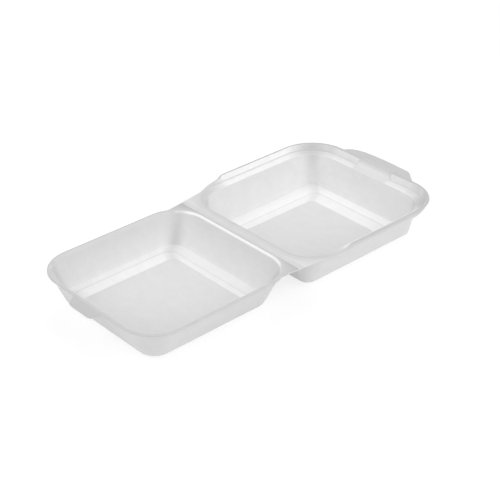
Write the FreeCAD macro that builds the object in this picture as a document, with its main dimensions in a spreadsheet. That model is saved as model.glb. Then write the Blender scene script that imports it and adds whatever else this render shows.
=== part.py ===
import FreeCAD, Part
import math
import os

import Sketcher

# Foam clamshell container, open flat: one thermoformed sheet of foam with a base tray, a lid
# tray and a creased band between them that works as the hinge.
# Frame: origin at the centre of the base tray's underside, +X from the base to the lid,
# +Z up, so Y runs along the hinge. Millimetres.

doc = FreeCAD.newDocument("clamshell")
sheet = doc.addObject("Spreadsheet::Sheet", "Sizes")

# Driving dimensions. Lengths run along X and widths along Y, both from the middle of the
# tray they belong to. A run is how far one level of a tray lies inside the next one.
DIMENSIONS = [
    # the foam sheet and the heights that both trays share
    ("foam", 2.3),
    ("rim_height", 42.0),
    ("flange_edge", 2.3),
    ("floor_turn", 0.6),
    ("overcut", 0.5),
    ("margin", 5.0),
    # base tray, from the rim down
    ("base_rim_length", 94.0),
    ("base_rim_width", 92.9),
    ("base_rim_corner", 39.6),
    ("base_rim_edge", 2.6),
    ("base_flare", 3.0),
    ("base_flare_run", 5.6),
    ("base_wall_run", 17.8),
    ("base_foot_height", 6.5),
    ("base_corner_run", 22.0),
    ("base_cove_inset", 0.5),
    ("base_cove_rise", 4.2),
    ("base_crease_rise", 4.1),
    ("base_crease_run_length", 10.6),
    ("base_crease_run_width", 4.2),
    ("base_crease_corner_run", 5.1),
    ("base_floor_run_length", 4.3),
    ("base_floor_run_width", 11.0),
    ("base_floor_corner_run", 3.5),
    # lid tray, from the lip down; the base rim goes inside the lip with these clearances
    ("lip_gap_length", 4.2),
    ("lip_gap_width", 4.4),
    ("lip_gap_corner", 1.4),
    ("lip_rise", 6.9),
    ("lip_run_length", 6.6),
    ("lip_run_width", 4.2),
    ("lip_run_corner", 4.3),
    ("lip_top_length", 4.4),
    ("lip_top_width", 2.9),
    ("lip_full_from", 41.0),
    ("lip_step", 5.0),
    ("lip_step_height", 3.4),
    ("lip_fade_run", 26.0),
    ("ledge_run_length", 8.7),
    ("ledge_run_width", 9.3),
    ("ledge_run_corner", 8.0),
    ("ledge_drop", 1.6),
    ("ledge_under", 1.4),
    ("ledge_sink", 0.1),
    ("lid_wall_run_length", 9.0),
    ("lid_wall_run_width", 10.9),
    ("lid_foot_height", 5.0),
    ("lid_corner_run", 22.8),
    ("lid_cove_inset", 2.0),
    ("lid_cove_rise", 4.0),
    ("lid_crease_rise", 1.3),
    ("lid_crease_run_length", 10.2),
    ("lid_crease_run_width", 15.0),
    ("lid_crease_corner_run", 1.0),
    ("lid_floor_run_length", 16.2),
    ("lid_floor_run_width", 9.6),
    ("lid_floor_corner_run", 1.2),
    # hinge band, from the hinge line to each side
    ("hinge_reach", 8.6),
    ("hinge_gap", 0.3),
    ("base_band", 3.4),
    ("base_band_root", 24.6),
    ("base_band_neck", 4.9),
    ("lid_band", 11.1),
    ("lid_band_edge", 2.1),
    ("lid_band_root", 30.6),
    ("lid_band_spread", 1.7),
    ("hinge_neck", 1.0),
    ("crease_width", 1.2),
    ("crease_depth", 0.5),
    ("base_crease_inset", 3.7),
    ("lid_crease_inset", 9.3),
    # tongue on the base's front edge
    ("tongue_root_width", 37.0),
    ("tongue_taper", 7.4),
    ("tongue_reach", 9.7),
    ("tongue_drop", 4.4),
    # opening ear and latch seat on the lid's front edge
    ("ear_root_width", 104.0),
    ("ear_taper", 30.0),
    ("ear_reach", 14.6),
    ("ear_corner", 11.0),
    ("latch_side_gap", 7.0),
    ("latch_setback", 2.0),
    ("latch_overrun", 2.6),
    ("latch_sink", 1.5),
]

# Sizes that follow from the driving ones.
DERIVED = {
    "base_foot_length": "base_rim_length - base_wall_run",
    "base_foot_width": "base_rim_width - base_wall_run",
    "base_foot_corner": "base_rim_corner - base_corner_run",
    "base_cove_length": "base_foot_length - base_cove_inset",
    "base_cove_width": "base_foot_width - base_cove_inset",
    "base_cove_corner": "base_foot_corner",
    "base_cove_height": "base_foot_height + base_cove_rise",
    "base_crease_length": "base_cove_length - base_crease_run_length",
    "base_crease_width": "base_cove_width - base_crease_run_width",
    "base_crease_corner": "base_cove_corner - base_crease_corner_run",
    "base_crease_height": "foam + base_crease_rise",
    "base_floor_length": "base_crease_length - base_floor_run_length",
    "base_floor_width": "base_crease_width - base_floor_run_width",
    "base_floor_corner": "base_crease_corner - base_floor_corner_run",
    "ledge_end_length": "base_rim_length + lip_gap_length",
    "ledge_end_width": "base_rim_width + lip_gap_width",
    "ledge_end_corner": "base_rim_corner + lip_gap_corner",
    "lip_length": "ledge_end_length + lip_run_length",
    "lip_width": "ledge_end_width + lip_run_width",
    "lip_corner": "ledge_end_corner + lip_run_corner",
    "lip_height": "rim_height + lip_rise",
    "lip_fade_from": "base_rim_length - lip_fade_run",
    "ledge_start_length": "ledge_end_length - ledge_run_length",
    "ledge_start_width": "ledge_end_width - ledge_run_width",
    "ledge_start_corner": "ledge_end_corner - ledge_run_corner",
    "lid_foot_length": "ledge_start_length - lid_wall_run_length",
    "lid_foot_width": "ledge_start_width - lid_wall_run_width",
    "lid_foot_corner": "ledge_start_corner - lid_corner_run",
    "lid_cove_length": "lid_foot_length - lid_cove_inset",
    "lid_cove_width": "lid_foot_width - lid_cove_inset",
    "lid_cove_corner": "lid_foot_corner - lid_cove_inset",
    "lid_cove_height": "foam + lid_cove_rise",
    "lid_crease_length": "lid_cove_length - lid_crease_run_length",
    "lid_crease_width": "lid_cove_width - lid_crease_run_width",
    "lid_crease_corner": "lid_cove_corner - lid_crease_corner_run",
    "lid_crease_height": "foam + lid_crease_rise",
    "lid_floor_length": "lid_crease_length - lid_floor_run_length",
    "lid_floor_width": "lid_crease_width - lid_floor_run_width",
    "lid_floor_corner": "lid_crease_corner - lid_floor_corner_run",
    "hinge_x": "base_rim_length + hinge_reach",
    "hinge_half_width": "base_rim_width - hinge_neck",
    "hinge_base_root": "hinge_x - base_band_root",
    "hinge_base_width": "base_rim_width - base_band_neck",
    "hinge_lid_root": "hinge_x - lid_band_root",
    "hinge_lid_width": "base_rim_width + lid_band_spread",
    "tongue_tip_width": "tongue_root_width - tongue_taper",
    "ear_tip": "lip_length + ear_reach",
    "ear_tip_width": "ear_root_width - ear_taper",
    "latch_width": "tongue_root_width + 2 * latch_side_gap",
    "latch_start": "ledge_start_length + latch_setback",
    "latch_end": "lip_length + latch_overrun",
    "latch_low": "rim_height - latch_sink",
}

for row, (alias, value) in enumerate(DIMENSIONS, start=1):
    sheet.set(f"A{row}", alias)
    sheet.set(f"B{row}", str(value))
    sheet.setAlias(f"B{row}", alias)
doc.recompute()
DRIVING = {alias for alias, _ in DIMENSIONS}


def size(text):
    """The expression with each dimension's name pointed at the sheet."""
    words = []
    for word in text.split():
        if word in DERIVED:
            words.append(f"( {size(DERIVED[word])} )")
        elif word in DRIVING:
            words.append(f"Sizes.{word}")
        else:
            words.append(word)
    return " ".join(words)


def number(text):
    """The value of such an expression now."""
    return float(sheet.evalExpression(size(text).replace("Sizes.", "")))


def new_body(name):
    body = doc.addObject("PartDesign::Body", name)
    body.Label = name
    return body


def origin_plane(body, role):
    for feature in body.Origin.OriginFeatures:
        if feature.Role == role:
            return feature
    raise ValueError(role)


def new_sketch(body, name, role, offset="0"):
    """A sketch on one of the body's own planes, lifted by an expression."""
    sketch = body.newObject("Sketcher::SketchObject", name)
    sketch.AttachmentSupport = [(origin_plane(body, role), "")]
    sketch.MapMode = "FlatFace"
    sketch.AttachmentOffset = FreeCAD.Placement(
        FreeCAD.Vector(0, 0, number(offset)), FreeCAD.Rotation()
    )
    sketch.setExpression("AttachmentOffset.Base.z", size(offset))
    return sketch


def fix_point(sketch, geometry, end, across, up):
    """Hold one point at (across, up) from the sketch's origin, both as expressions."""
    for kind, text in (("DistanceX", across), ("DistanceY", up)):
        value = number(text)
        if value < 0:
            index = sketch.addConstraint(
                Sketcher.Constraint(kind, geometry, end, -1, 1, -value)
            )
            sketch.setExpression(f"Constraints[{index}]", f"-({size(text)})")
        else:
            index = sketch.addConstraint(
                Sketcher.Constraint(kind, -1, 1, geometry, end, value)
            )
            sketch.setExpression(f"Constraints[{index}]", size(text))


def polygon(body, name, role, points, offset="0"):
    """A closed straight-sided outline whose corners are expressions."""
    sketch = new_sketch(body, name, role, offset)
    places = [FreeCAD.Vector(number(x), number(y), 0) for x, y in points]
    count = len(places)
    for index in range(count):
        sketch.addGeometry(Part.LineSegment(places[index], places[(index + 1) % count]))
    for index in range(count):
        sketch.addConstraint(
            Sketcher.Constraint("Coincident", index, 2, (index + 1) % count, 1)
        )
    for index, (across, up) in enumerate(points):
        fix_point(sketch, index, 1, across, up)
    return sketch


def rounded_level(body, name, height, left, right, width, corner):
    """A rounded rectangle across the tray at one height, symmetric about the X axis."""
    sketch = new_sketch(body, name, "XY_Plane", height)
    x0 = -number(left)
    x1 = number(right)
    y1 = number(width)
    r = number(corner)
    z_axis = FreeCAD.Vector(0, 0, 1)
    corners = [(x1 - r, -y1 + r), (x1 - r, y1 - r), (x0 + r, y1 - r), (x0 + r, -y1 + r)]
    sides = [
        ((x0 + r, -y1), (x1 - r, -y1)),
        ((x1, -y1 + r), (x1, y1 - r)),
        ((x1 - r, y1), (x0 + r, y1)),
        ((x0, y1 - r), (x0, -y1 + r)),
    ]
    for start, end in sides:
        sketch.addGeometry(
            Part.LineSegment(FreeCAD.Vector(*start, 0), FreeCAD.Vector(*end, 0))
        )
    for index, (x, y) in enumerate(corners):
        circle = Part.Circle(FreeCAD.Vector(x, y, 0), z_axis, r)
        start_angle = math.radians(90 * (index - 1))
        sketch.addGeometry(
            Part.ArcOfCircle(circle, start_angle, start_angle + math.pi / 2)
        )
    for index in range(4):
        arc = 4 + index
        sketch.addConstraint(Sketcher.Constraint("Tangent", index, 2, arc, 1))
        sketch.addConstraint(Sketcher.Constraint("Tangent", arc, 2, (index + 1) % 4, 1))
    for index in (0, 2):
        sketch.addConstraint(Sketcher.Constraint("Horizontal", index))
    for index in (1, 3):
        sketch.addConstraint(Sketcher.Constraint("Vertical", index))
    for arc in (5, 6, 7):
        sketch.addConstraint(Sketcher.Constraint("Equal", 4, arc))
    bound = [
        (Sketcher.Constraint("Radius", 4, r), corner),
        (Sketcher.Constraint("DistanceX", 3, 1, -1, 1, -x0), left),
        (Sketcher.Constraint("DistanceX", -1, 1, 1, 1, x1), right),
        (Sketcher.Constraint("DistanceY", -1, 1, 2, 1, y1), width),
        (Sketcher.Constraint("DistanceY", 0, 1, -1, 1, y1), width),
    ]
    for constraint, text in bound:
        index = sketch.addConstraint(constraint)
        sketch.setExpression(f"Constraints[{index}]", size(text))
    return sketch


def loft(body, name, kind, sketches):
    feature = body.newObject(f"PartDesign::{kind}Loft", name)
    feature.Profile = sketches[0]
    feature.Sections = sketches[1:]
    feature.Ruled = True
    feature.Closed = False
    for sketch in sketches:
        sketch.Visibility = False
    return feature


def extrude(body, name, kind, sketch, length, midplane=False, reverse=False):
    feature = body.newObject(f"PartDesign::{kind}", name)
    feature.Profile = sketch
    feature.setExpression("Length", size(length))
    feature.Midplane = midplane
    feature.Reversed = reverse
    return feature


def crease_line(body, name, middle):
    """A shallow fold line pressed across the hinge band."""
    groove = polygon(body, f"{name}_outline", "XZ_Plane", [
        (f"{middle} - crease_width / 2", "rim_height + overcut"),
        (f"{middle} - crease_width / 2", "rim_height"),
        (middle, "rim_height - crease_depth"),
        (f"{middle} + crease_width / 2", "rim_height"),
        (f"{middle} + crease_width / 2", "rim_height + overcut"),
    ])
    extrude(body, name, "Pocket", groove, "lip_width * 2", midplane=True)


def make_base():
    """Plain-rimmed tray with half of the hinge band and the tongue."""
    body = new_body("base_tray")
    outer_top = "rim_height - base_flare"
    hinge_side = "hinge_x - base_band"
    mouth_edge = "base_rim_edge + overcut"
    outer = [
        rounded_level(
            body, "base_under", "0",
            "base_floor_length + floor_turn", "base_floor_length + floor_turn",
            "base_floor_width + floor_turn", "base_floor_corner + floor_turn",
        ),
        rounded_level(
            body, "base_foot", "base_foot_height",
            "base_foot_length", "base_foot_length", "base_foot_width", "base_foot_corner",
        ),
        rounded_level(
            body, "base_wall_top", outer_top,
            "base_rim_length - base_flare", f"{hinge_side} - base_flare",
            "base_rim_width - base_flare", "base_rim_corner - base_flare",
        ),
        rounded_level(
            body, "base_flange_low", "rim_height - flange_edge",
            "base_rim_length", hinge_side, "base_rim_width", "base_rim_corner",
        ),
        rounded_level(
            body, "base_rim", "rim_height",
            "base_rim_length", hinge_side, "base_rim_width", "base_rim_corner",
        ),
    ]
    loft(body, "base_outside", "Additive", outer)

    band = polygon(body, "base_band_outline", "XY_Plane", [
        ("hinge_base_root", "- hinge_base_width"),
        ("hinge_x - hinge_gap / 2", "- hinge_half_width"),
        ("hinge_x - hinge_gap / 2", "hinge_half_width"),
        ("hinge_base_root", "hinge_base_width"),
    ], "rim_height")
    extrude(body, "base_band", "Pad", band, "flange_edge", reverse=True)

    inner = [
        rounded_level(
            body, "base_floor", "foam",
            "base_floor_length", "base_floor_length", "base_floor_width", "base_floor_corner",
        ),
        rounded_level(
            body, "base_crease", "base_crease_height",
            "base_crease_length", "base_crease_length",
            "base_crease_width", "base_crease_corner",
        ),
        rounded_level(
            body, "base_cove", "base_cove_height",
            "base_cove_length", "base_cove_length", "base_cove_width", "base_cove_corner",
        ),
        rounded_level(
            body, "base_flare_low", outer_top,
            "base_rim_length - base_flare_run", f"{hinge_side} - base_flare_run",
            "base_rim_width - base_flare_run", "base_rim_corner - base_flare_run",
        ),
        rounded_level(
            body, "base_mouth", "rim_height + overcut",
            f"base_rim_length - {mouth_edge}", f"{hinge_side} - {mouth_edge}",
            f"base_rim_width - {mouth_edge}", f"base_rim_corner - {mouth_edge}",
        ),
    ]
    loft(body, "base_inside", "Subtractive", inner)

    crease_line(body, "base_fold", "hinge_x - base_crease_inset")

    root = "base_rim_length - foam / 2"
    tongue = []
    for name, reach, half, top in (
        ("tongue_root", root, "tongue_root_width / 2", "rim_height"),
        (
            "tongue_tip", f"{root} + tongue_reach",
            "tongue_tip_width / 2", "rim_height - tongue_drop",
        ),
    ):
        tongue.append(polygon(body, name, "YZ_Plane", [
            (f"- {half}", f"{top} - foam"),
            (half, f"{top} - foam"),
            (half, top),
            (f"- {half}", top),
        ], f"- ( {reach} )"))
    loft(body, "tongue", "Additive", tongue)
    return body


def make_lid():
    """Step-rimmed tray with the other half of the band, the ear and the latch seat."""
    body = new_body("lid_tray")
    body.setExpression("Placement.Base.x", size("hinge_x * 2"))
    wall_top = "rim_height - ledge_drop - ledge_under"
    hinge_side = "hinge_x - lid_band"
    band_edge = "hinge_x - lid_band_edge"
    step_low = "rim_height - foam"
    outer = [
        rounded_level(
            body, "lid_under", "0",
            "lid_floor_length + floor_turn", "lid_floor_length + floor_turn",
            "lid_floor_width + floor_turn", "lid_floor_corner + floor_turn",
        ),
        rounded_level(
            body, "lid_heel", "lid_crease_height - foam",
            "lid_crease_length + floor_turn", "lid_crease_length + floor_turn",
            "lid_crease_width + floor_turn", "lid_crease_corner + floor_turn",
        ),
        rounded_level(
            body, "lid_foot", "lid_foot_height",
            "lid_foot_length", "lid_foot_length", "lid_foot_width", "lid_foot_corner",
        ),
        rounded_level(
            body, "lid_wall_top", wall_top,
            f"{hinge_side} + foam", "ledge_start_length + foam",
            "ledge_start_width + foam", "ledge_start_corner + foam",
        ),
        rounded_level(
            body, "lip_low", step_low,
            band_edge, "ledge_end_length + foam",
            "ledge_end_width + foam", "ledge_end_corner + foam",
        ),
        rounded_level(
            body, "lip_rim", "lip_height",
            band_edge, "lip_length", "lip_width", "lip_corner",
        ),
    ]
    loft(body, "lid_outside", "Additive", outer)

    band = polygon(body, "lid_band_outline", "XY_Plane", [
        ("- hinge_x + hinge_gap / 2", "- hinge_half_width"),
        ("- hinge_lid_root", "- hinge_lid_width"),
        ("- hinge_lid_root", "hinge_lid_width"),
        ("- hinge_x + hinge_gap / 2", "hinge_half_width"),
    ], "rim_height")
    extrude(body, "lid_band", "Pad", band, "flange_edge", reverse=True)

    ear = polygon(body, "ear_outline", "XY_Plane", [
        ("lip_length - lip_top_length + overcut", "- ear_root_width / 2"),
        ("ear_tip", "- ear_tip_width / 2"),
        ("ear_tip", "ear_tip_width / 2"),
        ("lip_length - lip_top_length + overcut", "ear_root_width / 2"),
    ], "lip_height")
    extrude(body, "ear", "Pad", ear, "foam", reverse=True)

    inner = [
        rounded_level(
            body, "lid_floor", "foam",
            "lid_floor_length", "lid_floor_length", "lid_floor_width", "lid_floor_corner",
        ),
        rounded_level(
            body, "lid_crease", "lid_crease_height",
            "lid_crease_length", "lid_crease_length",
            "lid_crease_width", "lid_crease_corner",
        ),
        rounded_level(
            body, "lid_cove", "lid_cove_height",
            "lid_cove_length", "lid_cove_length", "lid_cove_width", "lid_cove_corner",
        ),
        rounded_level(
            body, "ledge_start", "rim_height - ledge_drop",
            hinge_side, "ledge_start_length", "ledge_start_width", "ledge_start_corner",
        ),
        rounded_level(
            body, "ledge_end", "rim_height - ledge_sink",
            hinge_side, "ledge_end_length", "ledge_end_width", "ledge_end_corner",
        ),
        rounded_level(
            body, "lid_mouth", "lip_height + overcut",
            hinge_side, "lip_length - lip_top_length",
            "lip_width - lip_top_width", "lip_corner - lip_top_width",
        ),
    ]
    loft(body, "lid_inside", "Subtractive", inner)

    crease_line(body, "lid_fold", "- hinge_x + lid_crease_inset")

    # Away from the latch side the lip steps down and then fades out towards the hinge.
    above = "lip_height + margin"
    beyond = "- lip_length - margin"
    fade = polygon(body, "lip_fade_outline", "XZ_Plane", [
        (beyond, "rim_height"),
        ("- lip_fade_from", "rim_height"),
        ("- lip_full_from - lip_step", "rim_height + lip_step_height"),
        ("- lip_full_from", "lip_height"),
        ("- lip_full_from", above),
        (beyond, above),
    ])
    extrude(body, "lip_fade", "Pocket", fade, "lip_width * 2 + margin * 2", midplane=True)

    # The latch seat: a plain slope in place of the ledge and lip, where the tongue tucks in.
    slot_start = "ledge_end_length - overcut"
    slope = "( lip_height - latch_low ) / ( latch_end - latch_start )"
    slot = polygon(body, "latch_slot_outline", "XZ_Plane", [
        (slot_start, f"latch_low + ( {slot_start} - latch_start ) * {slope}"),
        ("latch_end", "lip_height"),
        ("latch_end", above),
        (slot_start, above),
    ])
    extrude(body, "latch_slot", "Pocket", slot, "latch_width", midplane=True)
    seat = polygon(body, "latch_seat_outline", "XZ_Plane", [
        ("latch_start", "latch_low"),
        ("latch_start", "latch_low - foam / 2"),
        ("ledge_end_length + foam / 2", "rim_height - foam / 2"),
        ("latch_end", "lip_height - foam"),
        ("latch_end", "lip_height"),
    ])
    extrude(body, "latch_seat", "Pad", seat, "latch_width", midplane=True)
    return body


def round_ear(body):
    """Round the ear's two outer corners."""
    doc.recompute()
    solid = body.Tip
    reach = number("ear_tip")
    names = []
    for index, edge in enumerate(solid.Shape.Edges, start=1):
        box = edge.BoundBox
        upright = box.ZLength > 1 and box.XLength < 1e-6 and box.YLength < 1e-6
        if upright and abs(edge.CenterOfMass.x - reach) < 0.01:
            names.append(f"Edge{index}")
    fillet = body.newObject("PartDesign::Fillet", "ear_rounding")
    fillet.Base = (solid, names)
    fillet.setExpression("Radius", size("ear_corner"))


base = make_base()
lid = make_lid()
round_ear(lid)
doc.recompute()

for item in doc.Objects:
    if "Invalid" in item.State or "Error" in item.State:
        raise RuntimeError(f"{item.Name} is {item.State}")
os.makedirs("parts", exist_ok=True)
for body in (base, lid):
    shape = body.Shape
    if shape.isNull() or not shape.isValid() or len(shape.Solids) != 1:
        raise RuntimeError(f"{body.Label} has no single valid solid")
    print(body.Label, "volume", round(shape.Volume), "box", shape.BoundBox)
    shape.exportStep(f"parts/{body.Label}.step")
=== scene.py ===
import math

import bpy
import numpy as np
from mathutils import Matrix, Vector


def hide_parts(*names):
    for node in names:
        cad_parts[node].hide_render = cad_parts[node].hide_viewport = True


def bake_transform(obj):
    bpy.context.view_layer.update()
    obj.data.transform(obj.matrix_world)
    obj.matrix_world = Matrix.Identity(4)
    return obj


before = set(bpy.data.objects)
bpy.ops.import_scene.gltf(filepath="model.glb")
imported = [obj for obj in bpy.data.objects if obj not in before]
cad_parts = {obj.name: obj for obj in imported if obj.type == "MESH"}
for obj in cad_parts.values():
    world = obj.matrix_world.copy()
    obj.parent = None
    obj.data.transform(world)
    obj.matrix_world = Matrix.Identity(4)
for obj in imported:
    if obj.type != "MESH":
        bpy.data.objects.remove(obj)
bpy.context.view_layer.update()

# Sizes are in millimetres here, and become metres when the mesh is written. A tray is drawn in
# its own plan: u runs from its front edge (negative) to the hinge, v runs along the hinge.
METRE = 1000
HINGE_X = 102.6
PITCH = 2 * HINGE_X
RIM = 42.0
FOAM = 2.3
UNDERSIDE = RIM - FOAM
LIP_RISE = 6.9
FADED_RISE = 0.1

# A cut edge of the sheet: how far it is rounded, where the first ring of its curve lies, and
# points down a flap's edge as (share of the thickness, share of the rounding).
EDGE = 0.7
CURVE_IN = EDGE * 0.3
CURVE_DROP = 0.18
TOP_INSET = 0.4
EDGE_POINTS = [(0.08, 0.7), (0.26, 1.0), (0.5, 1.0), (0.74, 1.0), (0.92, 0.7)]
EAR_EDGE_POINTS = [(0.12, 0.7), (0.6, 1.0)]

# Columns round a tray. The front ones are at set places, so that the tongue, the latch seat
# and the ear begin and end on a column.
HINGE_COLUMNS = 30
CORNER_COLUMNS = 20
SIDE_COLUMNS = 26
STRAIGHT = 53.3
TONGUE_ROOT = 20.0
SEAT_IN = 22.6
SEAT_OUT = 24.7
EAR_ROOT = 49.3
FRONT_HALF = [
    STRAIGHT, 51.3, EAR_ROOT, 46, 42, 38, 34, 30, 27,
    SEAT_OUT, SEAT_IN, 21.3, TONGUE_ROOT, 17, 13, 9, 4.5,
]
BAND_ANGLE = 63.0
SLACK = 0.01

# Painted light and shade of the foam at a place: 0 is its own colour, 3 and -3 are about a third
# lighter and darker. A painted tone at a corner fades out along the ring, over a reach in
# millimetres.
CORNER_REACH = 7.0
LIP_REACH = 22.0
# painted shade: the floors are made a little darker than the foam's own colour
FLOOR_PAINTED_SHADE = -0.3
# painted sheen: the bevels between floor and wall are made lighter, with painted shade taking
# most of it off at the corners
BEVEL_PAINTED_SHEEN = 1.5
UPPER_BEVEL_PAINTED_SHEEN = BEVEL_PAINTED_SHEEN - 0.3
BEVEL_CORNER_PAINTED_SHADE = 0.2
LID_BEVEL_PAINTED_SHEEN = 2.1
LID_BEVEL_CORNER_PAINTED_SHADE = 1.2
# painted highlight on the base rim's inner edge, and painted shade on its flat top and upright
# edge
RIM_PAINTED_HIGHLIGHT = 2.3
RIM_TOP_PAINTED_SHADE = -1.7
# painted highlights on the lid's ledge and lip, painted shade at their corners and where the lip
# fades out
LEDGE_PAINTED_HIGHLIGHT = 1.6
LEDGE_CORNER_PAINTED_SHADE = -1.4
LIP_PAINTED_HIGHLIGHT = 2.4
LIP_CORNER_PAINTED_SHADE = -1.6
FADED_LIP_PAINTED_SHADE = -1.4
# painted shade on the outer walls of the base and the lid
OUTSIDE_PAINTED_SHADE = -0.7
LID_OUTSIDE_PAINTED_SHADE = -0.2
# the tongue and the ear are painted darker than the foam's own colour
TONGUE_PAINTED_DARKER = -2.1
EAR_PAINTED_DARKER = -1.9
# painted shade in the hinge folds and under the band; the band's top is painted a little darker
FOLD_PAINTED_SHADE = -2.6
BAND_TONE = -0.1
BAND_UNDER_PAINTED_SHADE = -0.5
# painted shade on the latch seat's outer side
SEAT_EDGE_PAINTED_SHADE = -1.6

# Places in a level, and in a point of a ring.
WIDTH, HEIGHT, LEVEL_TONE, TONES = 2, 4, 5, slice(5, 8)
U, V, Z, TONE = range(4)


def pairs(items):
    """Each item with the next one."""
    return zip(items[:-1], items[1:])


def column_list():
    """Every column as (part of the outline, place along it), anticlockwise from the hinge side.
    The parts are the four sides by name and the four corners by number."""
    corner = [i / CORNER_COLUMNS for i in range(CORNER_COLUMNS)]
    side = [i / SIDE_COLUMNS for i in range(SIDE_COLUMNS)]
    front = FRONT_HALF + [0.0] + [-place for place in reversed(FRONT_HALF)]
    parts = (
        ("hinge", [-1 + 2 * i / HINGE_COLUMNS for i in range(HINGE_COLUMNS)]),
        (0, corner),
        ("left", side),
        (1, corner),
        ("front", [place / STRAIGHT for place in front[:-1]]),
        (2, corner),
        ("right", side),
        (3, corner),
    )
    return [(kind, place) for kind, places in parts for place in places]


COLUMNS = column_list()
COUNT = len(COLUMNS)
# how far each column is turned from the middle of its corner, in radians
CORNER_TURN = np.array([
    math.inf if isinstance(kind, str) else (place - 0.5) * math.pi / 2 for kind, place in COLUMNS
])


def column_span(test):
    """The columns that pass a test, in order, starting after one that fails."""
    marks = [test(kind, place) for kind, place in COLUMNS]
    start = next(j for j in range(COUNT) if marks[j] and not marks[j - 1])
    span = []
    j = start
    while marks[j % COUNT]:
        span.append(j % COUNT)
        j += 1
    return span


def in_band(kind, place):
    """Whether a column ends in the hinge band: the hinge side, and part of both its corners."""
    if kind == "hinge":
        return True
    if kind == 0:
        return 90 * place <= BAND_ANGLE + SLACK
    return kind == 3 and 90 * (1 - place) <= BAND_ANGLE + SLACK


def on_front(half):
    """A test for the columns within a distance of the middle of the front."""
    return lambda kind, place: kind == "front" and abs(place) * STRAIGHT <= half + SLACK


BAND = column_span(in_band)
TONGUE = column_span(on_front(TONGUE_ROOT))
SEAT = column_span(on_front(SEAT_IN))
EAR = column_span(on_front(EAR_ROOT))


def plan(front, hinge, width, corner):
    """Plan points of a rounded rectangle, one for each column."""
    points = []
    back_u = -(front - corner)
    near_u = hinge - corner
    side_v = width - corner
    centres = [(near_u, side_v), (back_u, side_v), (back_u, -side_v), (near_u, -side_v)]
    for kind, place in COLUMNS:
        if kind == "hinge":
            points.append((hinge, side_v * place))
        elif kind == "left":
            points.append((near_u + (back_u - near_u) * place, width))
        elif kind == "front":
            points.append((-front, side_v * place))
        elif kind == "right":
            points.append((back_u + (near_u - back_u) * place, -width))
        else:
            angle = math.radians(90 * (kind + place))
            u, v = centres[kind]
            points.append((u + corner * math.cos(angle), v + corner * math.sin(angle)))
    return np.array(points)


def level(front, hinge, width, corner, height, tone=0.0, corner_tone=0.0, reach=CORNER_REACH):
    """One rounded rectangle of a tray, with the painted light or shade of its foam along it, the
    painted light or shade at its corners, and how far that reaches from the middle of a corner."""
    return np.array([front, hinge, width, corner, height, tone, corner_tone, reach], float)


def between(first, second, share, tone, corner_tone, reach=CORNER_REACH):
    """A level part of the way to the next one, with a painted tone of its own."""
    made = first + (second - first) * share
    made[TONES] = (tone, corner_tone, reach)
    return made


def grow(base, outward, height):
    """A level moved outward all round, at its own height."""
    made = base + np.array([outward] * 4 + [0.0] * 4)
    made[HEIGHT] = height
    return made


def spread(first, last, steps=8):
    """Levels between two levels, both left out."""
    return [first + (last - first) * k / steps for k in range(1, steps)]


def floor_levels(edge):
    """Rings that fill a floor, from near its middle to its edge."""
    return [
        level(*(edge[:HEIGHT] * share), edge[HEIGHT], edge[LEVEL_TONE], edge[LEVEL_TONE])
        for share in (0.04, 0.14, 0.28, 0.42, 0.56, 0.7, 0.84, 0.94)
    ]


def flat_top(inner, outer):
    """The start and the end of a flat top between two levels, in the outer one's tone."""
    start = grow(inner, TOP_INSET, inner[HEIGHT])
    start[TONES] = outer[TONES]
    return start, grow(outer, -EDGE, inner[HEIGHT])


def soften(levels, cuts):
    """Round the crease at each level that cuts names, by a distance in millimetres, with a short
    curve of four levels in its place."""
    most = 0.45
    made = [levels[0]]
    for before, here, after in zip(levels[:-2], levels[1:-1], levels[2:]):
        cut = next((distance for named, distance in cuts if named is here), 0)
        if not cut:
            made.append(here)
            continue
        ends = []
        for other in (before, after):
            run = math.hypot(other[WIDTH] - here[WIDTH], other[HEIGHT] - here[HEIGHT])
            ends.append(here + (other - here) * min(cut / max(run, 1e-6), most))
        for t in (0.0, 0.33, 0.67, 1.0):
            made.append((1 - t) ** 2 * ends[0] + 2 * t * (1 - t) * here + t * t * ends[1])
    made.append(levels[-1])
    return made


def rings(levels):
    """Levels as an array of rings of (u, v, z, tone)."""
    made = []
    for front, hinge, width, corner, height, tone, corner_tone, reach in levels:
        flat = plan(front, hinge, width, corner)
        # the painted tone at the corners, mostly painted shade, fades out along the ring
        at_corner = np.exp(-((corner * CORNER_TURN / reach) ** 2))
        tones = tone + (corner_tone - tone) * at_corner
        made.append(np.column_stack([flat, np.full(COUNT, height), tones]))
    return np.array(made)


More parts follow.
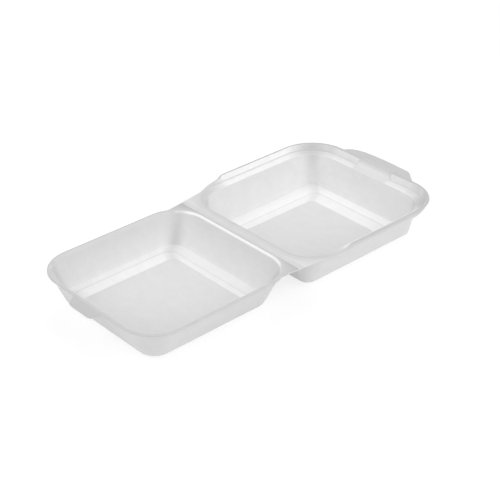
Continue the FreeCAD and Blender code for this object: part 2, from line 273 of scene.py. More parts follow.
def base_inside(flare, rim_in, rim_out):
    """The base's inside, from its floor's middle to the end of the rim's flat top."""
    # painted tones: painted sheen on the bevels and lower wall, painted shade in the corners and
    # just below the rim's painted highlight
    floor = level(60.8, 60.8, 59.4, 9.0, FOAM, FLOOR_PAINTED_SHADE, FLOOR_PAINTED_SHADE)
    crease = level(65.1, 65.1, 70.4, 12.5, 6.4, FLOOR_PAINTED_SHADE, -0.9)
    cove = level(75.7, 75.7, 74.6, 17.6, 10.7, 0.5, -1.2)
    levels = [
        *floor_levels(floor), floor,
        between(floor, crease, 0.12, BEVEL_PAINTED_SHEEN, BEVEL_CORNER_PAINTED_SHADE),
        between(floor, crease, 0.9, BEVEL_PAINTED_SHEEN, BEVEL_CORNER_PAINTED_SHADE), crease,
        between(crease, cove, 0.1, UPPER_BEVEL_PAINTED_SHEEN, 0.1),
        between(crease, cove, 0.85, UPPER_BEVEL_PAINTED_SHEEN, 0.0), cove,
        between(cove, flare, 0.06, 0.6, -1.2), *spread(cove, flare), flare,
        between(flare, rim_in, 0.25, -0.7, -1.5),
        between(flare, rim_in, 0.5, RIM_PAINTED_HIGHLIGHT, -0.6), rim_in,
        *flat_top(rim_in, rim_out),
    ]
    return soften(levels, [(floor, 0.6), (crease, 0.4), (cove, 0.9), (flare, 0.4), (rim_in, 0.3)])


def base_edge(rim_out):
    """The rim's upright edge."""
    return [
        grow(rim_out, -CURVE_IN, RIM - CURVE_DROP),
        *[grow(rim_out, 0, RIM - drop) for drop in (0.6, 1.15, 1.7)],
        grow(rim_out, -CURVE_IN, UNDERSIDE + CURVE_DROP),
    ]


def base_outside(rim_out):
    """The base's outside, from under the rim to the underside's middle."""
    bottom_end = grow(rim_out, -EDGE, UNDERSIDE)
    # painted shade on the outer wall
    wall_top = level(91.0, 96.2, 89.9, 36.6, 39.0, OUTSIDE_PAINTED_SHADE, OUTSIDE_PAINTED_SHADE)
    foot = level(76.2, 76.2, 75.1, 17.6, 6.5, OUTSIDE_PAINTED_SHADE, OUTSIDE_PAINTED_SHADE)
    under = level(61.4, 61.4, 60.0, 9.6, 0.0)
    levels = [bottom_end, wall_top, *spread(wall_top, foot), foot, under]
    levels += reversed(floor_levels(under))
    return soften(levels, [(wall_top, 0.8), (foot, 2.6), (under, 2.6)])


def base_rings():
    """The base tray's inside, rim edge and outside, as rings."""
    # painted shade at the top of the inner wall, a painted highlight on the rim's inner edge,
    # painted shade on the rim's top
    flare = level(88.4, 93.6, 87.3, 34.0, 39.0, -0.6, -1.4)
    rim_in = level(91.4, 96.6, 90.3, 37.0, RIM, RIM_PAINTED_HIGHLIGHT, 0.0)
    rim_out = level(94.0, 99.2, 92.9, 39.6, RIM, RIM_TOP_PAINTED_SHADE, RIM_TOP_PAINTED_SHADE)
    parts = (base_inside(flare, rim_in, rim_out), base_edge(rim_out), base_outside(rim_out))
    return [rings(part) for part in parts]


def fade(tone, share):
    """The painted tone of a part of the lip that fades to the band's tone where the lip does; the
    faded lip is painted shade.
    """
    return FADED_LIP_PAINTED_SHADE + (tone - FADED_LIP_PAINTED_SHADE) * share


def lid_inside(share, lip_in, lip_out):
    """The lid's inside, from its floor's middle to the end of the lip's flat top."""
    # painted tones: painted sheen on the bevels and lower wall, painted highlights on the ledge
    # and lip with painted shade at their corners
    floor = level(52.1, 52.1, 50.6, 5.5, FOAM, FLOOR_PAINTED_SHADE, FLOOR_PAINTED_SHADE)
    crease = level(68.3, 68.3, 60.1, 7.2, 3.6, -0.2, -0.2)
    cove = level(78.5, 78.5, 75.1, 8.2, 6.3, 0.7, 0.7)
    start = level(89.5, 91.5, 88.0, 33.0, 40.4, 0.3, LIP_CORNER_PAINTED_SHADE)
    end = level(98.2, 92.8, 97.3, 41.0, 41.9, fade(-0.8, share), LIP_CORNER_PAINTED_SHADE, LIP_REACH)
    ledge_painted_light = (fade(LEDGE_PAINTED_HIGHLIGHT, share), LEDGE_CORNER_PAINTED_SHADE, LIP_REACH)
    levels = [
        *floor_levels(floor), floor,
        between(floor, crease, 0.1, BEVEL_PAINTED_SHEEN, 0.6),
        between(floor, crease, 0.93, BEVEL_PAINTED_SHEEN, 0.6), crease,
        between(crease, cove, 0.07, LID_BEVEL_PAINTED_SHEEN, LID_BEVEL_CORNER_PAINTED_SHADE),
        between(crease, cove, 0.88, LID_BEVEL_PAINTED_SHEEN, LID_BEVEL_CORNER_PAINTED_SHADE), cove,
        between(cove, start, 0.05, 0.8, 0.2), *spread(cove, start), start,
        between(start, end, 0.12, *ledge_painted_light), between(start, end, 0.88, *ledge_painted_light), end,
        between(end, lip_in, 0.14, *lip_in[TONES]), lip_in,
        *flat_top(lip_in, lip_out),
    ]
    cuts = [(floor, 0.6), (crease, 0.4), (cove, 0.9), (start, 0.5), (end, 0.4), (lip_in, 0.3)]
    return soften(levels, cuts)


def lid_edge(share, lip_out, low):
    """The lip's outer side. The ear's underside starts at the third level of it."""
    top = lip_out[HEIGHT]
    ear_low = 0.28 if share == 1 else 0.5
    return [
        grow(lip_out, -CURVE_IN, top - CURVE_DROP),
        grow(lip_out, 0, top - 0.6),
        lip_out + (low - lip_out) * ear_low,
        lip_out + (low - lip_out) * 0.62,
        grow(low, -0.5 * share, UNDERSIDE + 0.8),
    ]


def lid_outside(share, low):
    """The lid's outside, from under the lip to the underside's middle."""
    bottom_end = grow(low, -EDGE - 1.3 * share, UNDERSIDE)
    # painted shade on the outer wall
    wall_top = level(91.8, 93.8, 90.3, 35.3, 39.0, LID_OUTSIDE_PAINTED_SHADE, LID_OUTSIDE_PAINTED_SHADE)
    foot = level(80.4, 80.5, 77.1, 10.6, 5.0, LID_OUTSIDE_PAINTED_SHADE, LID_OUTSIDE_PAINTED_SHADE)
    heel = level(68.9, 68.9, 60.7, 7.8, 1.3)
    under = level(52.7, 52.7, 51.2, 6.1, 0.0)
    levels = [bottom_end, wall_top, *spread(wall_top, foot), foot, heel, under]
    levels += reversed(floor_levels(under))
    return soften(levels, [(wall_top, 0.8), (foot, 1.2), (heel, 1.0), (under, 1.0)])


def lid_rings(rise):
    """The lid tray's inside, lip edge and outside, as rings, with the same lip all round."""
    share = rise / LIP_RISE
    top = RIM + rise - 0.1
    # a painted highlight on the lip's inner side with painted shade at its corners, and painted
    # shade on the lip's top
    lip_painted_light = (fade(LIP_PAINTED_HIGHLIGHT, share), LIP_CORNER_PAINTED_SHADE, LIP_REACH)
    lip_in = level(
        98.4 + 2.0 * share, 96.0, 97.5 + 1.1 * share, 41.2 + 1.2 * share, top, *lip_painted_light
    )
    lip_top_painted_shade = -1.0 - 1.2 * share
    lip_out = level(
        101.6 + 3.2 * share, 100.5, 100.1 + 1.4 * share, 43.8 + 1.5 * share, top, lip_top_painted_shade, lip_top_painted_shade
    )
    low = level(100.0, 100.5, 99.1, 46.0, UNDERSIDE)
    parts = (
        lid_inside(share, lip_in, lip_out), lid_edge(share, lip_out, low), lid_outside(share, low)
    )
    return [rings(part) for part in parts]


# How much of the lip's height stands, by the place along the lid's side.
LIP_PLACES = [41.0, 46.0, 68.0]
LIP_SHARES = [1.0, 0.49, 0.0]


def blend_lip(high, low):
    """Let the lip stand at the front and fade out along the sides towards the hinge."""
    share = np.interp(high[..., U], LIP_PLACES, LIP_SHARES)
    return low + (high - low) * share[..., None]


# Where the painted highlights on the rings are dimmed: above which height, at which places from
# front to hinge, and how much of their painted tone is taken off there.
BASE_DIM = (RIM - 3, [78.0, 92.0], [3.0, 0.0])
LID_DIM = (RIM - 1.5, [-96.0, -84.0], [1.5, 0.0])


def dim(inside, low, places, drops):
    """Make the painted highlights on the rings above a height less bright, by their place from
    front to hinge.
    """
    bright = np.clip(inside[..., TONE], 0, 1) * (inside[..., Z] > low)
    inside[..., TONE] -= np.interp(inside[..., U], places, drops) * bright


# The latch seat's slope in the lid, from the inside wall's top up to the ear, and the outer side
# that the seat has in place of the lip's. It begins at the ring nearest a height.
SEAT_FROM = 40.3
SEAT_FOOT = (91.5, 40.5)
SEAT_TOP = (107.4, RIM + LIP_RISE)
SEAT_EDGE = [(107.6, 48.6), (107.5, 47.6), (107.2, 46.6), (103.6, 44.4), (100.6, 41.6)]
SEAT_PLACES = [0.0, 0.15, 0.45, 0.6, 1.0]
# painted tones along the seat: near the foam's own at its foot, painted darker towards the ear
SEAT_TONES = [-0.1, 0.0, 0.1, -1.5, -1.8]


def cut_seat(inside, edge):
    """Lay the columns of the latch seat on its slope."""
    first = int(np.argmin(np.abs(inside[:, 0, Z] - SEAT_FROM)))
    for j in SEAT:
        run = inside[first:, j, :]
        steps = np.linalg.norm(np.diff(run[:, [U, Z]], axis=0), axis=1)
        share = np.concatenate([[0], np.cumsum(steps)]) / steps.sum()
        run[:, U] = -(SEAT_FOOT[0] + (SEAT_TOP[0] - SEAT_FOOT[0]) * share)
        run[:, Z] = SEAT_FOOT[1] + (SEAT_TOP[1] - SEAT_FOOT[1]) * share
        # painted tones along the seat, and painted shade on its outer side
        run[:, TONE] = np.interp(share, SEAT_PLACES, SEAT_TONES)
        for k, (u, z) in enumerate(SEAT_EDGE):
            edge[k, j, [U, Z, TONE]] = (-u, z, SEAT_EDGE_PAINTED_SHADE)


# Unevenness of the walls: share of the distance from the middle, number of waves, how many turns
# a wave has round the tray, how fast it turns with height, and the heights between which it is
# free, with the run over which it grows there.
WANDER = 0.0011
WAVES = 6
WAVE_COUNTS = (2, 9)
WAVE_TURN = 0.12
FREE_FROM, FREE_TO, FREE_RUN = 3, 41, 12


def uneven(array, seed):
    """Let the walls wander a little in and out, as a thin moulded sheet does."""
    rng = np.random.default_rng(seed)
    waves = [
        (rng.integers(*WAVE_COUNTS), rng.uniform(0, 2 * math.pi), rng.uniform(0, WAVE_TURN))
        for _ in range(WAVES)
    ]
    for ring in array:
        angle = np.arctan2(ring[:, V], ring[:, U])
        height = ring[:, Z]
        free = np.clip(np.minimum(height - FREE_FROM, FREE_TO - height) / FREE_RUN, 0, 1)
        shift = np.zeros(COUNT)
        for count, phase, turn in waves:
            shift += np.sin(count * angle + phase + turn * height)
        ring[:, :Z] *= (1 + free * shift * WANDER)[:, None]


class Shell:
    """One closed sheet of foam: its points, its faces and the painted light or shade of the foam
    at each point.
    """

    def __init__(self):
        self.points = []
        self.tones = []
        self.faces = []

    def add(self, x, y, z, tone):
        """Write a point, and return its number."""
        self.points.append((x, y, z))
        self.tones.append(tone)
        return len(self.points) - 1

    def quad(self, a, b, c, d, flip):
        """A face of four points, or of three where two of them are the same."""
        face = [a, b, c, d]
        face = [p for k, p in enumerate(face) if p != face[k - 1]]
        self.faces.append(tuple(reversed(face)) if flip else tuple(face))

    def add_rings(self, array, mirror):
        """Write rings of (u, v, z, tone); the lid is drawn mirrored beyond the hinge."""
        return [
            [self.add(PITCH - u if mirror else u, v, z, tone) for u, v, z, tone in ring]
            for ring in array
        ]

    def join_rings(self, lower, upper, mirror, skip=()):
        """Faces between two rings, apart from the columns to skip."""
        for j in range(COUNT):
            if j not in skip:
                k = (j + 1) % COUNT
                self.quad(lower[j], lower[k], upper[k], upper[j], flip=not mirror)

    def cap(self, ring, height, mirror):
        """Close a ring with a fan round its middle."""
        x = sum(self.points[p][0] for p in ring) / COUNT
        middle = self.add(x, 0.0, height, self.tones[ring[0]])
        for j in range(COUNT):
            k = (j + 1) % COUNT
            face = (ring[j], ring[k], middle)
            self.faces.append(face if mirror else tuple(reversed(face)))

    def join_rows(self, tops, lows, flip):
        """Faces between rows of points, on top of a flap or band and underneath."""
        for (top, next_top), (low, next_low) in zip(pairs(tops), pairs(lows)):
            for c in range(len(top) - 1):
                self.quad(top[c], top[c + 1], next_top[c + 1], next_top[c], flip=flip)
                self.quad(low[c], low[c + 1], next_low[c + 1], next_low[c], flip=not flip)

    def edge_column(self, top, low, out, shares, tone):
        """Points down a cut edge from a top to a low point, rounded in the direction out."""
        here = np.array(self.points[top])
        there = np.array(self.points[low])
        column = [top]
        for share, bulge in shares:
            spot = here + (there - here) * share + out * bulge * EDGE
            column.append(self.add(*spot, tone))
        return [*column, low]

    def join_columns(self, columns, flip):
        """Faces between columns of points along a cut edge."""
        for left, right in pairs(columns):
            for m in range(len(left) - 1):
                self.quad(left[m], left[m + 1], right[m + 1], right[m], flip=flip)


def outward(spots, index):
    """The level direction out of a flap's outline at one of its points."""
    ahead = spots[index + 1] - spots[index - 1]
    out = np.array([ahead[1], -ahead[0], 0.0])
    out /= np.linalg.norm(out)
    if np.dot(out[:2], (spots[index] - np.mean(spots, axis=0))[:2]) < 0:
        out = -out
    return out


def add_flap(shell, root, rows_top, rows_low, shares, tone):
    """A flat flap that grows out of a tray's edge. root is the edge that it grows from: the top
    points, the edge's own points at both ends, and the low points. rows_top and rows_low are the
    rows of points beyond it."""
    root_top, (first_mids, last_mids), root_low = root
    top = [root_top]
    low = [root_low]
    for row_top, row_low in zip(rows_top, rows_low):
        top.append([shell.add(*p, tone) for p in row_top])
        low.append([shell.add(*p, tone) for p in row_low])
    flip = shell.points[top[1][0]][0] > shell.points[root_top[0]][0]
    shell.join_rows(top, low, not flip)

    last_row = len(top) - 1
    last_column = len(root_top) - 1
    path = [(k, 0) for k in range(last_row + 1)]
    path += [(last_row, c) for c in range(1, last_column + 1)]
    path += [(k, last_column) for k in range(last_row - 1, -1, -1)]
    spots = [np.array(shell.points[top[k][c]]) for k, c in path]
    columns = [[root_top[0], *first_mids, root_low[0]]]
    for index, (k, c) in enumerate(path[1:-1], start=1):
        out = outward(spots, index)
        columns.append(shell.edge_column(top[k][c], low[k][c], out, shares, tone))
    columns.append([root_top[-1], *last_mids, root_low[-1]])
    shell.join_columns(columns, flip)


# The tongue: the shares of its reach at which its rows lie, its reach and drop, how much of its
# width it loses on each side, and how its tip's corners are rounded from a share of the width on.
TONGUE_STEPS = [0.16, 0.28, 0.42, 0.56, 0.7, 0.84, 0.94, 1.0]
TONGUE_REACH = 9.2 - EDGE
TONGUE_DROP = 4.4
TONGUE_NEAR_TAPER = 0.26
TONGUE_FAR_TAPER = 0.06
TIP_ROUND = 1.3
TIP_FROM, TIP_RUN = 0.72, 0.28


def tongue_point(x, y, z, t):
    """A point of the root, moved to a share of the tongue's reach."""
    round_off = TIP_ROUND * max(0.0, abs(y) / TONGUE_ROOT - TIP_FROM) ** 2 / TIP_RUN ** 2 * t
    narrow = 1 - (TONGUE_FAR_TAPER if y > 0 else TONGUE_NEAR_TAPER) * t
    down = TONGUE_DROP * (t * 0.88 + 0.12 * t * t)  # a little steeper towards the tip
    return (x - TONGUE_REACH * t + round_off, y * narrow, z - down)


def add_tongue(shell, root):
    """The tongue slopes down from the base's front rim and narrows to its tip."""
    rows_top, rows_low = (
        [[tongue_point(*shell.points[p], t) for p in line] for t in TONGUE_STEPS]
        for line in (root[0], root[2])
    )
    # the tongue is painted darker
    add_flap(shell, root, rows_top, rows_low, EDGE_POINTS, TONGUE_PAINTED_DARKER)


# The ear's outline in plan, from its root to its tip at both ends, and along its tip. The far
# end, towards +Y, swells out in a curve; the near end is cut straight.
EAR_NEAR_END = [(309.3, -52.0), (315.0, -45.0), (321.4, -37.3)]
EAR_FAR_END = [(309.3, 52.0), (312.0, 50.6), (315.0, 48.1), (317.8, 44.4), (320.1, 39.5)]
EAR_TIP = [
    (321.4, -37.3), (322.6, -34.8), (323.2, -31.0), (323.9, 0.0), (323.3, 20.0), (322.4, 31.0),
    (320.1, 39.5),
]
EAR_STEPS = [0.05, 0.14, 0.26, 0.4, 0.54, 0.68, 0.8, 0.9, 0.96, 1.0]


def along(points, share):
    """The place at a share of the length of a line of points."""
    line = np.array(points, float)
    reach = np.concatenate([[0], np.cumsum(np.linalg.norm(np.diff(line, axis=0), axis=1))])
    return np.array([np.interp(share * reach[-1], reach, line[:, k]) for k in (0, 1)])


def ear_row(root, t):
    """The ear's points at a share of its reach, on a surface stretched between its outlines."""
    near_root = np.array(root[-1][:2])
    far_root = np.array(root[0][:2])
    near_bulge = along(EAR_NEAR_END, t) - near_root * (1 - t) - along(EAR_TIP, 0) * t
    far_bulge = along(EAR_FAR_END, t) - far_root * (1 - t) - along(EAR_TIP, 1) * t
    row = []
    for x, y, z in root:
        s = (y - near_root[1]) / (far_root[1] - near_root[1])
        spot = np.array([x, y]) * (1 - t) + along(EAR_TIP, s) * t
        spot += near_bulge * (1 - s) + far_bulge * s
        row.append((spot[0], spot[1], z))
    return row


def add_ear(shell, root):
    """The ear stands out level from the lid's front lip; one end is rounder than the other."""
    line = [shell.points[p] for p in root[0]]
    rows_top = [ear_row(line, t) for t in EAR_STEPS]
    rows_low = [[(x, y, z - FOAM) for x, y, z in row] for row in rows_top]
    # the ear is painted darker
    add_flap(shell, root, rows_top, rows_low, EAR_EDGE_POINTS, EAR_PAINTED_DARKER)


# Rows of the hinge band by their place across it, and the folds in it. Grooves are given as
# (place, half width, depth).
BASE_FOLD = 98.9
FOLDS = (BASE_FOLD, 100.9, HINGE_X, 104.3)
BAND_ROWS = [
    BASE_FOLD, 99.5, 100.2, 100.9, 101.4, 101.8, 102.2, HINGE_X, 103.0, 103.4, 103.8, 104.3, 104.8
]
TOP_GROOVES = [(BASE_FOLD, 0.5, 0.45), (HINGE_X, 0.7, 0.35)]
UNDER_GROOVE = (HINGE_X, 1.2, 0.9)


def groove(x, middle, half, depth):
    """How deep a groove is at a place across the band."""
    return depth * max(0.0, 1 - abs(x - middle) / half)


def band_row(shell, left, right, x, height):
    """Points along the band at one place across it, between the base's and the lid's points."""
    row = []
    for a, b in zip(left, right):
        xa, ya, _ = shell.points[a]
        xb, yb, _ = shell.points[b]
        share = (x - xa) / (xb - xa)
        row.append((x, ya + (yb - ya) * share, height))
    return row


def add_band(shell, base, lid):
    """The flat band between the trays, thinner where it folds. base and lid are the edges that
    it joins: the top points, the edge's own points at both ends, and the low points."""
    tops = [base[0]]
    lows = [base[2]]
    for x in BAND_ROWS:
        top = RIM
        for fold in TOP_GROOVES:
            top -= groove(x, *fold)
        under = UNDERSIDE + groove(x, *UNDER_GROOVE)
        # painted shade in the folds and on the band's underside; elsewhere the band's top is
        # painted a little darker
        tone = FOLD_PAINTED_SHADE if x in FOLDS else BAND_TONE
        row = band_row(shell, base[0], lid[0], x, top)
        tops.append([shell.add(*p, tone) for p in row])
        row = band_row(shell, base[2], lid[2], x, under)
        lows.append([shell.add(*p, BAND_UNDER_PAINTED_SHADE) for p in row])
    tops.append(lid[0])
    lows.append(lid[2])
    shell.join_rows(tops, lows, True)
    for end, side in ((0, -1), (-1, 1)):
        out = np.array([0.0, side, 0.0])
        columns = [[tops[0][end], *base[1][end], lows[0][end]]]
        for top, low in zip(tops[1:-1], lows[1:-1]):
            columns.append(
                shell.edge_column(top[end], low[end], out, EDGE_POINTS, BAND_UNDER_PAINTED_SHADE)
            )
        columns.append([tops[-1][end], *lid[1][end], lows[-1][end]])
        shell.join_columns(columns, side > 0)


def write_base(shell):
    """Write the base tray's rings, and return the numbers of their points."""
    inside, edge, outside = base_rings()
    dim(inside, *BASE_DIM)
    for part in (inside, outside):
        uneven(part, seed=3)
    return [shell.add_rings(part, False) for part in (inside, edge, outside)]


def write_lid(shell):
    """Write the lid tray's rings, and return the numbers of their points."""
    high = lid_rings(LIP_RISE)
    low = lid_rings(FADED_RISE)
    inside = blend_lip(high[0], low[0])
    edge = blend_lip(high[1], low[1])
    outside = high[2]
    dim(inside, *LID_DIM)
    for part in (inside, outside):
        uneven(part, seed=8)
    cut_seat(inside, edge)
    return [shell.add_rings(part, True) for part in (inside, edge, outside)]


def join_tray(shell, tray, mirror, flap, flap_steps):
    """Faces of a tray. Its edge stays open along the band, and along its flap for a number of
    steps down from the top."""
    inside, edge, outside = tray
    band_skip = set(BAND[:-1])
    flap_skip = set(flap[:-1])
    for lower, upper in pairs(inside):
        shell.join_rings(lower, upper, mirror)
    for step, (lower, upper) in enumerate(pairs([inside[-1], *edge, outside[0]])):
        skip = band_skip | flap_skip if step < flap_steps else band_skip
        shell.join_rings(lower, upper, mirror, skip)
    for lower, upper in pairs(outside):
        shell.join_rings(lower, upper, mirror)
    shell.cap(inside[0], FOAM, not mirror)
    shell.cap(outside[-1], 0.0, mirror)


def root_of(columns, top, edge, low):
    """The points that a flap or the band grows from: the top ones, those of the edge at both
    ends, and the low ones."""
    ends = [[ring[columns[end]] for ring in edge] for end in (0, -1)]
    return [top[j] for j in columns], ends, [low[j] for j in columns]


def build_shell():
    """The whole container, lying open, as one closed sheet."""
    shell = Shell()
    base = write_base(shell)
    lid = write_lid(shell)
    ear_steps = len(EAR_EDGE_POINTS) + 1
    join_tray(shell, base, False, TONGUE, len(EDGE_POINTS) + 1)
    join_tray(shell, lid, True, EAR, ear_steps)

    inside, edge, outside = base
    lid_in, lip_edge, lid_out = lid
    add_band(
        shell,
        root_of(BAND, inside[-1], edge, outside[0]),
        root_of(BAND, lid_in[-1], lip_edge, lid_out[0]),
    )
    add_tongue(shell, root_of(TONGUE, inside[-1], edge, outside[0]))
    ear_low = ear_steps - 1
    add_ear(shell, root_of(EAR, lid_in[-1], lip_edge[:ear_low], lip_edge[ear_low]))
    return shell


def mesh_object(name, shell):
    mesh = bpy.data.meshes.new(name)
    mesh.from_pydata([tuple(c / METRE for c in p) for p in shell.points], [], shell.faces)
    mesh.validate()
    # the painted light and shade of each point, for the material
    painted_light_and_shade = mesh.attributes.new("painted_light_and_shade", "FLOAT", "POINT")
    painted_light_and_shade.data.foreach_set("value", np.array(shell.tones, np.float32))
    mesh.polygons.foreach_set("use_smooth", [True] * len(mesh.polygons))
    mesh.update()
    made = bpy.data.objects.new(name, mesh)
    bpy.context.scene.collection.objects.link(made)
    return made


def node(tree, kind, values=None, **settings):
    """A node with its settings, and with values for its inputs by name or number."""
    made = tree.nodes.new(kind)
    for key, value in settings.items():
        setattr(made, key, value)
    for key, value in (values or {}).items():
        made.inputs[key].default_value = value
    return made


def multiplied(tree, colour, factor):
    """The output of a node that multiplies two colours."""
    made = node(tree, "ShaderNodeMix", {"Factor": 1.0}, data_type="RGBA", blend_type="MULTIPLY")
    tree.links.new(colour, made.inputs["A"])
    tree.links.new(factor, made.inputs["B"])
    return made.outputs["Result"]


def mapped(tree, value, ends, low=0.0, high=1.0):
    """The output of a node that maps a value from low and high to two ends."""
    made = node(tree, "ShaderNodeMapRange", {
        "From Min": low, "From Max": high, "To Min": ends[0], "To Max": ends[1],
    })
    tree.links.new(value, made.inputs["Value"])
    return made.outputs["Result"]


def foam_colour(tree, cloud, streak):
    """Cloudy and streaked white, lighter or darker by the painted light and shade at each place.
    """
    tone = node(tree, "ShaderNodeValToRGB")
    dark, light = tone.color_ramp.elements
    dark.position = 0.3
    dark.color = (0.745, 0.745, 0.745, 1)
    light.position = 0.72
    light.color = (0.775, 0.775, 0.775, 1)
    tree.links.new(cloud, tone.inputs["Fac"])
    streaks = mapped(tree, streak, (0.985, 1.01), 0.3, 0.7)
    streaked = multiplied(tree, tone.outputs["Color"], streaks)
    # painted light and shade: the colour is multiplied by 0.64 to 1.36 by the point's painted
    # tone
    painted_light_and_shade = node(tree, "ShaderNodeAttribute", attribute_name="painted_light_and_shade")
    painted_light_factor = mapped(tree, painted_light_and_shade.outputs["Fac"], (0.64, 1.36), -3.0, 3.0)
    return multiplied(tree, streaked, painted_light_factor)


def foam_bump(tree, cells, streak):
    """Fine cells under the skin, and faint waves from the mould."""
    cell_bump = node(tree, "ShaderNodeBump", {"Strength": 0.22, "Distance": 0.00012})
    tree.links.new(cells, cell_bump.inputs["Height"])
    wave_bump = node(tree, "ShaderNodeBump", {"Strength": 0.1, "Distance": 0.0004})
    tree.links.new(streak, wave_bump.inputs["Height"])
    tree.links.new(cell_bump.outputs["Normal"], wave_bump.inputs["Normal"])
    return wave_bump.outputs["Normal"]


def foam_material():
    """White expanded foam: fine cells under a satin skin, cloudy tone, and painted light and
    shade from the mesh's points.
    """
    material = bpy.data.materials.new("foam_skin")
    material.use_nodes = True
    tree = material.node_tree
    tree.nodes.clear()
    link = tree.links.new
    out = node(tree, "ShaderNodeOutputMaterial")
    shader = node(tree, "ShaderNodeBsdfPrincipled", {
        "Subsurface Weight": 0.12,
        "Subsurface Radius": (1.0, 1.0, 1.0),
        "Subsurface Scale": 0.0015,
        "IOR": 1.5,
        "Specular IOR Level": 0.34,
    })
    link(shader.outputs["BSDF"], out.inputs["Surface"])

    place = node(tree, "ShaderNodeTexCoord").outputs["Object"]
    cloud = node(tree, "ShaderNodeTexNoise", {"Scale": 75.0, "Detail": 4.0, "Roughness": 0.6})
    link(place, cloud.inputs["Vector"])
    stretch = node(tree, "ShaderNodeMapping", {"Scale": (420.0, 90.0, 160.0)})
    link(place, stretch.inputs["Vector"])
    streak = node(tree, "ShaderNodeTexNoise", {"Scale": 1.0, "Detail": 3.0})
    link(stretch.outputs["Vector"], streak.inputs["Vector"])
    cells = node(tree, "ShaderNodeTexVoronoi", {"Scale": 1500.0}, feature="F1")
    link(place, cells.inputs["Vector"])

    colour = foam_colour(tree, cloud.outputs["Fac"], streak.outputs["Fac"])
    link(colour, shader.inputs["Base Color"])
    link(mapped(tree, cloud.outputs["Fac"], (0.5, 0.6)), shader.inputs["Roughness"])
    normal = foam_bump(tree, cells.outputs["Distance"], streak.outputs["Fac"])
    link(normal, shader.inputs["Normal"])
    return material


def seen_ray(tree):
    """1 for rays that show a background: from the camera, a reflection or through glass."""
    path = node(tree, "ShaderNodeLightPath")
    direct = node(tree, "ShaderNodeMath", operation="MAXIMUM")
    every = node(tree, "ShaderNodeMath", operation="MAXIMUM")
    tree.links.new(path.outputs["Is Camera Ray"], direct.inputs[0])
    tree.links.new(path.outputs["Is Glossy Ray"], direct.inputs[1])
    tree.links.new(direct.outputs["Value"], every.inputs[0])
    tree.links.new(path.outputs["Is Transmission Ray"], every.inputs[1])
    return every.outputs["Value"]


def mix_shaders(tree, share, first, second, surface):
    """Show a mix of two shaders on a surface, the second one by the share."""
    mix = node(tree, "ShaderNodeMixShader")
    tree.links.new(share, mix.inputs["Fac"])
    tree.links.new(first, mix.inputs[1])
    tree.links.new(second, mix.inputs[2])
    tree.links.new(mix.outputs["Shader"], surface)


WHITE = (1, 1, 1, 1)
FLOOR_REACH = 3.0
FLOOR_HEIGHT = -0.0002
FLOOR_GREY = (0.75, 0.75, 0.75, 1)
FLOOR_GLOW = 0.24
FLOOR_WHITE = 1.12
FLOOR_WHITE_SHARE = 0.55
WORLD_LIGHT = 0.45


def floor_material():
    """A floor that the camera sees as plain white, apart from the object's soft shadow."""
    material = bpy.data.materials.new("studio_floor")
    material.use_nodes = True
    tree = material.node_tree
    shader = tree.nodes["Principled BSDF"]
    shader.inputs["Base Color"].default_value = FLOOR_GREY
    shader.inputs["Emission Color"].default_value = WHITE
    shader.inputs["Emission Strength"].default_value = FLOOR_GLOW
    shader.inputs["Roughness"].default_value = 1.0
    shader.inputs["Specular IOR Level"].default_value = 0.0
    bright = node(tree, "ShaderNodeEmission", {"Strength": FLOOR_WHITE})
    share = node(tree, "ShaderNodeMath", {1: FLOOR_WHITE_SHARE}, operation="MULTIPLY")
    tree.links.new(seen_ray(tree), share.inputs[0])
    surface = tree.nodes["Material Output"].inputs["Surface"]
    mix_shaders(
        tree, share.outputs["Value"], shader.outputs["BSDF"], bright.outputs["Emission"], surface
    )
    return material


def add_floor():
    mesh = bpy.data.meshes.new("studio_floor")
    turns = ((-1, -1), (1, -1), (1, 1), (-1, 1))
    corners = [(FLOOR_REACH * x, FLOOR_REACH * y, FLOOR_HEIGHT) for x, y in turns]
    mesh.from_pydata(corners, [], [(0, 1, 2, 3)])
    floor = bpy.data.objects.new("studio_floor", mesh)
    floor.data.materials.append(floor_material())
    bpy.context.scene.collection.objects.link(floor)


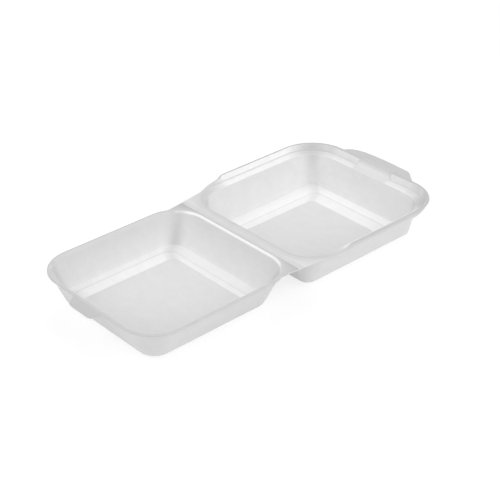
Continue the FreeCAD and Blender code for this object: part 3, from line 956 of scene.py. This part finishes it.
def add_world():
    """Even white light all round, and a white background for the camera."""
    world = bpy.data.worlds.new("studio")
    bpy.context.scene.world = world
    world.use_nodes = True
    tree = world.node_tree
    tree.nodes.clear()
    out = node(tree, "ShaderNodeOutputWorld")
    light = node(tree, "ShaderNodeBackground", {"Color": WHITE, "Strength": WORLD_LIGHT})
    white = node(tree, "ShaderNodeBackground", {"Color": WHITE, "Strength": 1.0})
    mix_shaders(
        tree, seen_ray(tree), light.outputs["Background"], white.outputs["Background"],
        out.inputs["Surface"],
    )


# Each lamp's name, place, size and power, and the point that they all face.
LAMP_AIM = (0.11, 0, 0.02)
LAMPS = [
    ("key_right", (0.72, -1.32, 1.08), 1.2, 12.4),
    ("key_left", (-1.21, 0.62, 1.08), 1.2, 10.0),
    ("top_back", (0.70, 0.74, 1.22), 0.75, 4.0),
    ("low_front", (-0.89, -1.11, 0.70), 1.0, 3.5),
]


def add_lamp(name, place, size, power):
    data = bpy.data.lights.new(name, "AREA")
    data.shape = "SQUARE"
    data.size = size
    data.energy = power
    lamp = bpy.data.objects.new(name, data)
    lamp.location = place
    facing = Vector(LAMP_AIM) - Vector(place)
    lamp.rotation_euler = facing.to_track_quat("-Z", "Y").to_euler()
    bpy.context.scene.collection.objects.link(lamp)


def add_camera():
    """The photograph's view: from the base's side of the hinge, looking down at 31 degrees."""
    azimuth = math.radians(-42.411)
    elevation = math.radians(31.206)
    aim = Vector((0.12650, 0.01164, 0.0065))
    distance = 1.39288
    back = Vector((
        math.sin(azimuth) * math.cos(elevation),
        -math.cos(azimuth) * math.cos(elevation),
        math.sin(elevation),
    ))
    right = Vector((math.cos(azimuth), math.sin(azimuth), 0.0))
    up = back.cross(right)
    data = bpy.data.cameras.new("camera")
    data.sensor_width = 36.0
    data.lens = 94.08
    camera = bpy.data.objects.new("camera", data)
    turn = Matrix((right, up, back)).transposed().to_4x4()
    camera.matrix_world = Matrix.Translation(aim + back * distance) @ turn
    bpy.context.scene.collection.objects.link(camera)
    bpy.context.scene.camera = camera


container = mesh_object("foam_container", build_shell())
container.data.materials.append(foam_material())
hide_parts("base_tray", "lid_tray")
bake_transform(container)

add_floor()
add_world()
for lamp_row in LAMPS:
    add_lamp(*lamp_row)
add_camera()
bpy.context.scene.view_settings.view_transform = "Standard"
